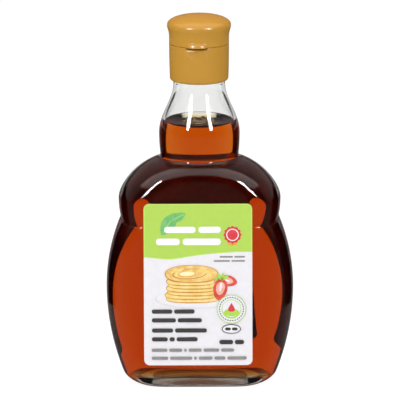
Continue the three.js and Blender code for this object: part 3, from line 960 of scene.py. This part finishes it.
def cap_lid_grid(gap):
    """Lid underside, wall, swept waist, rolled rim and dome."""
    bottom = PARTING_Z + gap / 2
    under = column([0.3 * MM, SKIRT_TOP_R - 2 * MM, SKIRT_TOP_R - 0.12 * MM], bottom)
    wall = column(SKIRT_TOP_R, np.linspace(bottom + 0.12 * MM, LID_WAIST_Z, 40))
    t = np.linspace(0, 1, 16)[1:]
    z = LID_WAIST_Z + (RIM_UNDERSIDE_Z - LID_WAIST_Z) * t
    sweep = column(SKIRT_TOP_R + (RIM_UNDERSIDE_R - SKIRT_TOP_R) * t * t, z)
    t = np.linspace(0, 1, 12, endpoint=False)[1:]
    z = RIM_UNDERSIDE_Z + (RIM_Z - RIM_UNDERSIDE_Z) * t
    rim = column(RIM_UNDERSIDE_R + (RIM_R - RIM_UNDERSIDE_R) * (2 * t - t * t), z)
    t = np.linspace(0, np.pi / 2, 46)[:-1]
    z = RIM_Z + DOME_HEIGHT * np.sin(t) ** (2 / DOME_ROUNDNESS)
    dome = column(RIM_R * np.cos(t) ** (2 / DOME_ROUNDNESS), z)
    return cap_grid(np.concatenate([under, wall, sweep, rim, dome]), lid_with_lip)


# Settings a user would change


class GlassSettings(bpy.types.PropertyGroup):
    wall: bpy.props.FloatProperty(
        name="Wall", description="Thickness of the glass wall", default=2.8 * MM, unit="LENGTH"
    )


class SyrupSettings(bpy.types.PropertyGroup):
    colour_hex: bpy.props.StringProperty(
        name="Colour", description="What the syrup lets through, as sRGB hex", default="#f4cc00"
    )
    density: bpy.props.FloatProperty(
        name="Density", description="How strongly the syrup absorbs light, per metre", default=180.0
    )
    overlap: bpy.props.FloatProperty(
        name="Overlap",
        description="How far the syrup reaches into the glass",
        default=0.05 * MM,
        unit="LENGTH",
    )
    meniscus: bpy.props.FloatProperty(
        name="Meniscus", description="How far the syrup climbs the glass", default=2.6 * MM, unit="LENGTH"
    )
    meniscus_width: bpy.props.FloatProperty(
        name="Meniscus width", description="Distance over which it fades", default=2.2 * MM, unit="LENGTH"
    )
    bubbles: bpy.props.IntProperty(
        name="Bubbles", description="Number of bubbles on the surface", default=16, min=1
    )
    bubble_radius: bpy.props.FloatProperty(
        name="Bubble radius", description="Radius of the largest bubble", default=2.4 * MM, unit="LENGTH"
    )


class LabelSettings(bpy.types.PropertyGroup):
    width: bpy.props.FloatProperty(
        name="Width", description="Width of the front label", default=54 * MM, unit="LENGTH"
    )
    front_x: bpy.props.FloatProperty(
        name="Front offset",
        description="Front label's centre from the axis",
        default=-0.9 * MM,
        unit="LENGTH",
    )
    front_low: bpy.props.FloatProperty(
        name="Front bottom", description="Lower edge of the front label", default=11.6 * MM, unit="LENGTH"
    )
    front_high: bpy.props.FloatProperty(
        name="Front top", description="Upper edge of the front label", default=94.0 * MM, unit="LENGTH"
    )
    back_width: bpy.props.FloatProperty(
        name="Back width", description="Width of the back label", default=48 * MM, unit="LENGTH"
    )
    back_x: bpy.props.FloatProperty(
        name="Back offset", description="Back label's centre from the axis", default=1.4 * MM, unit="LENGTH"
    )
    back_low: bpy.props.FloatProperty(
        name="Back bottom", description="Lower edge of the back label", default=15.4 * MM, unit="LENGTH"
    )
    back_high: bpy.props.FloatProperty(
        name="Back top", description="Upper edge of the back label", default=101 * MM, unit="LENGTH"
    )
    back_tilt: bpy.props.FloatProperty(
        name="Back tilt", description="How far the back label is askew, in degrees", default=3.2
    )


class CapSettings(bpy.types.PropertyGroup):
    colour_hex: bpy.props.StringProperty(
        name="Colour", description="Main colour of the cap, as sRGB hex", default="#c18f2d"
    )
    flow_hex: bpy.props.StringProperty(
        name="Flow colour", description="Second tone of the moulded colour, as sRGB hex", default="#bd8b2b"
    )
    roughness: bpy.props.FloatProperty(
        name="Roughness", description="Roughness of the moulded surface", default=0.28, min=0, max=1
    )
    gap: bpy.props.FloatProperty(
        name="Parting gap", description="Gap between lid and skirt", default=0.22 * MM, unit="LENGTH"
    )


class StageSettings(bpy.types.PropertyGroup):
    camera_distance: bpy.props.FloatProperty(
        name="Camera distance", description="From the camera to the bottle", default=4.0, unit="LENGTH"
    )
    camera_elevation: bpy.props.FloatProperty(
        name="Camera elevation", description="How far the camera looks down, in degrees", default=12.3
    )
    camera_roll: bpy.props.FloatProperty(
        name="Camera roll", description="How far the camera leans, in degrees", default=-0.2
    )
    target_x: bpy.props.FloatProperty(
        name="Target offset", description="Sideways offset of the view", default=0.2 * MM, unit="LENGTH"
    )
    target_z: bpy.props.FloatProperty(
        name="Target height",
        description="Height that the camera looks at",
        default=90.26 * MM,
        unit="LENGTH",
    )
    field: bpy.props.FloatProperty(
        name="Field width", description="Width that the picture takes in", default=200 * MM, unit="LENGTH"
    )
    floor_glow: bpy.props.FloatProperty(
        name="Floor glow", description="Light given by the pale lit floor", default=0.95
    )
    fill_power: bpy.props.FloatProperty(
        name="Overhead power", description="Power of the overhead softbox, in watts", default=22.0
    )
    key_power: bpy.props.FloatProperty(
        name="Key power", description="Power of the large front softbox, in watts", default=8.2
    )
    room_fill: bpy.props.FloatProperty(
        name="Room fill", description="Soft room light on matt surfaces", default=0.3
    )
    backdrop: bpy.props.FloatProperty(
        name="Backdrop", description="Brightness of the pale room seen through the bottle", default=0.9
    )
    sheen: bpy.props.FloatProperty(
        name="Sheen", description="Brightness of the upper room in outer reflections", default=0.4
    )
    room_gloss: bpy.props.FloatProperty(
        name="Room in gloss", description="Brightness of the room in reflections", default=0.05
    )
    strip_power: bpy.props.FloatProperty(
        name="Strip power", description="Power of each strip softbox, in watts", default=11.0
    )


# Operators


class FLASK_OT_glass(bpy.types.Operator):
    """Clear glass flask with its hollow, push-up base and finish"""

    bl_idname = "syrup_flask.glass"
    bl_label = "Add glass flask"

    def execute(self, context):
        settings = context.scene.flask_glass
        skins = [
            flint_glass(),
            flint_glass("flint_glass_wetted", "#000000"),
            flint_glass("flint_glass_stippled_foot", roughness=0.22),
        ]
        plain, wetted, stippled = range(3)
        grid = flask_grid(settings.wall)
        z = grid[:, 0, 2]
        inside = np.arange(len(grid)) > int(np.argmax(z))
        wet = inside & (z < FILL_Z + context.scene.flask_syrup.meniscus)
        rows = np.where(wet[:-1], wetted, plain)
        rows[:UNDER_RINGS] = stippled
        piece = closed_loft("flask_glass", grid, skins, loft_slots(rows, stippled, wetted))
        dress(piece, "flint_glass", "bottle_glass")
        return {"FINISHED"}


class FLASK_OT_syrup(bpy.types.Operator):
    """Amber syrup that fills the flask up to the neck"""

    bl_idname = "syrup_flask.syrup"
    bl_label = "Add syrup"

    def execute(self, context):
        scene = context.scene
        grid = syrup_grid(scene.flask_glass.wall, scene.flask_syrup)
        liquid = amber_syrup(scene.flask_syrup)
        piece = closed_loft("maple_syrup", grid, [liquid])
        open_rows = np.arange(len(grid)) > int(np.argmax(grid[:, 0, 2]))
        mark_sheen(piece, np.concatenate([np.repeat(open_rows, FLASK_TURNS), [False, True]]))
        dress(piece, "syrup", "syrup")
        beads = bubbles(scene.flask_syrup, liquid)
        mark_sheen(beads, np.ones(len(beads.data.vertices)))
        dress(beads, "syrup", "syrup")
        return {"FINISHED"}


class FLASK_OT_labels(bpy.types.Operator):
    """Paper labels on the front and back panels"""

    bl_idname = "syrup_flask.labels"
    bl_label = "Add labels"

    def execute(self, context):
        settings = context.scene.flask_labels
        inks = [coated_paper("label_" + name, *tones) for name, tones in INKS.items()]
        dress(front_print(settings).build("label_front", inks), "label_paper", "front_label")
        dress(back_print(settings).build("label_back", inks), "label_paper", "back_label")
        return {"FINISHED"}


class FLASK_OT_cap(bpy.types.Operator):
    """Flip-top cap: skirt with its finger recess, lid with its thumb lip, and the hinge"""

    bl_idname = "syrup_flask.cap"
    bl_label = "Add flip-top cap"

    def execute(self, context):
        settings = context.scene.flask_cap
        plastic = cap_plastic(settings)
        dress(closed_loft("cap_skirt", cap_base_grid(settings.gap), [plastic]), "cap_plastic", "cap_base")
        dress(closed_loft("cap_dome", cap_lid_grid(settings.gap), [plastic]), "cap_plastic", "cap_lid")
        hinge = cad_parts["lid_hinge"]
        hinge.data.materials.clear()
        hinge.data.materials.append(plastic)
        return {"FINISHED"}


def hide_from(thing, *rays):
    """Takes an object out of the given kinds of rays."""
    for kind in rays:
        setattr(thing, "visible_" + kind, False)


def area_light(name, place, aim, size, power, colour="#ffffff"):
    """A rectangular softbox that faces a point and that the camera doesn't see."""
    light = bpy.data.lights.new(name, "AREA")
    light.shape = "RECTANGLE"
    light.size, light.size_y = size
    light.energy = power
    light.color = linear(colour)[:3]
    lamp = bpy.data.objects.new(name, light)
    lamp.location = place
    lamp.rotation_euler = (Vector(aim) - Vector(place)).to_track_quat("-Z", "Y").to_euler()
    bpy.context.scene.collection.objects.link(lamp)
    hide_from(lamp, "camera")
    return lamp


def polar(azimuth, elevation, distance):
    """A point round the bottle: azimuth 0 is towards the viewer's side, -Y, and 90 is +X."""
    a, e = math.radians(azimuth), math.radians(elevation)
    return Vector((math.sin(a) * math.cos(e), -math.cos(a) * math.cos(e), math.sin(e))) * distance


class FLASK_OT_stage(bpy.types.Operator):
    """Camera, pale lit floor, dark side flags, softboxes and room light"""

    bl_idname = "syrup_flask.stage"
    bl_label = "Add stage"

    def execute(self, context):
        settings = context.scene.flask_stage
        self.camera(context, settings)
        self.floor(settings)
        self.flags()
        self.lights(settings)
        self.room(context, settings)
        return {"FINISHED"}

    def camera(self, context, settings):
        """A long lens in front that looks a little down, turned about its own axis by the roll."""
        data = bpy.data.cameras.new("camera")
        data.sensor_width = 36
        data.lens = data.sensor_width * settings.camera_distance / settings.field
        data.clip_end = 100
        camera = bpy.data.objects.new("camera", data)
        target = Vector((settings.target_x, 0, settings.target_z))
        camera.location = target + polar(0, settings.camera_elevation, settings.camera_distance)
        level = (target - camera.location).to_track_quat("-Z", "Y")
        roll = Quaternion((0, 0, 1), math.radians(settings.camera_roll))
        camera.rotation_euler = (level @ roll).to_euler()
        context.scene.collection.objects.link(camera)
        context.scene.camera = camera

    def floor(self, settings):
        """Pale lit table. The camera sees it evenly bright. Matt surfaces, and rays that have crossed
        the bottle, see it bright but for the shaded footprint. Clear edges see only what lies behind
        the bottle, and outer reflections only what lies far behind it."""
        half = 9.0
        corners = np.array([[-half, -half, 0], [half, -half, 0], [half, half, 0], [-half, half, 0]])
        material, tree = new_material("lit_acrylic_table")
        path = add_node(tree, "ShaderNodeLightPath")
        place = (add_node(tree, "ShaderNodeTexCoord"), "Object")
        shape = {1: (1 / FOOT_HALF_WIDTH, 1 / FOOT_HALF_DEPTH, 0)}
        under = add_node(tree, "ShaderNodeVectorMath", shape, {0: place}, operation="MULTIPLY")
        away = add_node(tree, "ShaderNodeVectorMath", links={0: (under, 0)}, operation="LENGTH")
        y = (add_node(tree, "ShaderNodeSeparateXYZ", links={0: place}), "Y")
        shade = span(tree, y, -16 * MM, -2 * MM, 0.04, 0.6)
        open_floor = span(tree, (away, "Value"), 0.98, 1.02, links={"To Min": shade})
        through = calculate(tree, "GREATER_THAN", (path, "Transmission Depth"), THROUGH_GLASS)
        behind = span(tree, y, 0.03, 0.06, 0.0, 0.7)
        edges = calculate(tree, "MULTIPLY", behind, (path, "Is Transmission Ray"))
        far = span(tree, y, 0.6, 1.4, 0.0, settings.sheen)
        mirror = calculate(tree, "MULTIPLY", far, (path, "Is Glossy Ray"))
        seen = calculate(tree, "MAXIMUM", through, mirror, edges, (path, "Is Diffuse Ray"))
        lit = calculate(tree, "MULTIPLY", open_floor, seen)
        shown = calculate(tree, "MAXIMUM", lit, (path, "Is Camera Ray"))
        strength = calculate(tree, "MULTIPLY", shown, settings.floor_glow)
        glow = add_node(tree, "ShaderNodeEmission", {"Color": WHITE}, {"Strength": strength})
        matt = add_node(tree, "ShaderNodeBsdfDiffuse", {"Color": (0.12, 0.12, 0.12, 1)})
        table = add_node(tree, "ShaderNodeAddShader", links={0: (glow, 0), 1: (matt, 0)})
        add_node(tree, "ShaderNodeOutputMaterial", links={"Surface": (table, 0)})
        new_mesh("floor", corners, [np.array([[0, 1, 2, 3]])], [material], smooth=False)

    def flags(self):
        """Black boards behind each side of the bottle, seen only through it and in its gloss."""
        material, tree = new_material("black_flag")
        black = add_node(tree, "ShaderNodeBsdfDiffuse", {"Color": (0.004, 0.004, 0.004, 1)})
        add_node(tree, "ShaderNodeOutputMaterial", links={"Surface": (black, 0)})
        for side, name in ((-1, "flag_left"), (1, "flag_right")):
            angle = np.radians(np.linspace(*FLAG_ANGLES, 12)) * side
            x, y = FLAG_DISTANCE * np.sin(angle), FLAG_DISTANCE * np.cos(angle)
            rows = np.array([np.stack([x, y, np.full_like(x, z)], 1) for z in FLAG_HEIGHTS])
            flag = new_mesh(name, rows, [grid_quads(*rows.shape[:2], closed=False)], [material])
            hide_from(flag, "camera", "diffuse", "shadow")

    def lights(self, settings):
        """A wide softbox overhead, a large one in front, and a narrow strip at each side that
        draws the two long highlights on the glass."""
        middle = (0, -0.35, 0)
        area_light("overhead", (0, -0.35, 1.1), middle, (2.6, 1.8), settings.fill_power, "#fbf1ee")
        key = area_light("key", polar(-12, 30, 1.6), (0, 0, 0.09), (1.2, 1.0), settings.key_power)
        hide_from(key, "glossy", "transmission")
        for side in (-1, 1):
            place = polar(35 * side, 30, 1.2)
            strip = area_light(f"strip_{side}", place, (0, 0, 0.1), (0.17, 0.44), settings.strip_power)
            hide_from(strip, "diffuse")

    def room(self, context, settings):
        """White room. Through the bottle it is bright low down and grey above. In outer reflections
        it is dark, but for a warm gleam from the upper back."""
        world = bpy.data.worlds.new("studio")
        world.use_nodes = True
        tree = world.node_tree
        tree.nodes.clear()
        path = add_node(tree, "ShaderNodeLightPath")
        depth = (path, "Transmission Depth")
        soft = span(tree, (path, "Is Diffuse Ray"), 0.0, 1.0, settings.room_gloss, settings.room_fill)
        direction = add_node(tree, "ShaderNodeTexCoord")
        part = add_node(tree, "ShaderNodeSeparateXYZ", links={0: (direction, "Generated")})
        low = span(tree, (part, "Z"), 0.06, 0.2, settings.backdrop, 0.22)
        deep = calculate(tree, "GREATER_THAN", depth, THROUGH_GLASS)
        drop = calculate(tree, "MULTIPLY", low, deep)
        up = span(tree, (part, "Z"), 0.02, 0.16, 0.0, settings.sheen)
        rear = span(tree, (part, "Y"), -0.25, 0.05)
        first = calculate(tree, "LESS_THAN", depth, 0.5)
        gleam = calculate(tree, "MULTIPLY", up, rear, first)
        seen = calculate(tree, "MAXIMUM", soft, drop, gleam, (path, "Is Camera Ray"))
        warm = calculate(tree, "MULTIPLY", first, (path, "Is Glossy Ray"))
        tone = blend(tree, WHITE, linear("#eabfba"), warm)
        back = add_node(tree, "ShaderNodeBackground", links={"Color": tone, "Strength": seen})
        add_node(tree, "ShaderNodeOutputWorld", links={"Surface": (back, 0)})
        context.scene.world = world
        context.scene.view_settings.view_transform = "Standard"


class FLASK_PT_panel(bpy.types.Panel):
    """Lists the steps that build the flask"""

    bl_label = "Syrup Flask"
    bl_idname = "FLASK_PT_panel"
    bl_space_type = "VIEW_3D"
    bl_region_type = "UI"
    bl_category = "Syrup Flask"

    def draw(self, context):
        for operator in OPERATORS:
            self.layout.operator(operator.bl_idname)


SETTINGS = {
    "flask_glass": GlassSettings,
    "flask_syrup": SyrupSettings,
    "flask_labels": LabelSettings,
    "flask_cap": CapSettings,
    "flask_stage": StageSettings,
}
OPERATORS = (FLASK_OT_stage, FLASK_OT_glass, FLASK_OT_syrup, FLASK_OT_labels, FLASK_OT_cap)


def register():
    for kind in (*SETTINGS.values(), *OPERATORS, FLASK_PT_panel):
        bpy.utils.register_class(kind)
    for name, kind in SETTINGS.items():
        setattr(bpy.types.Scene, name, bpy.props.PointerProperty(type=kind))


def unregister():
    for name in SETTINGS:
        delattr(bpy.types.Scene, name)
    for kind in (FLASK_PT_panel, *OPERATORS[::-1], *reversed(SETTINGS.values())):
        bpy.utils.unregister_class(kind)


def main():
    register()
    bpy.ops.syrup_flask.stage()
    bpy.ops.syrup_flask.glass()
    bpy.ops.syrup_flask.syrup()
    bpy.ops.syrup_flask.labels()
    bpy.ops.syrup_flask.cap()


if __name__ == "__main__":
    main()
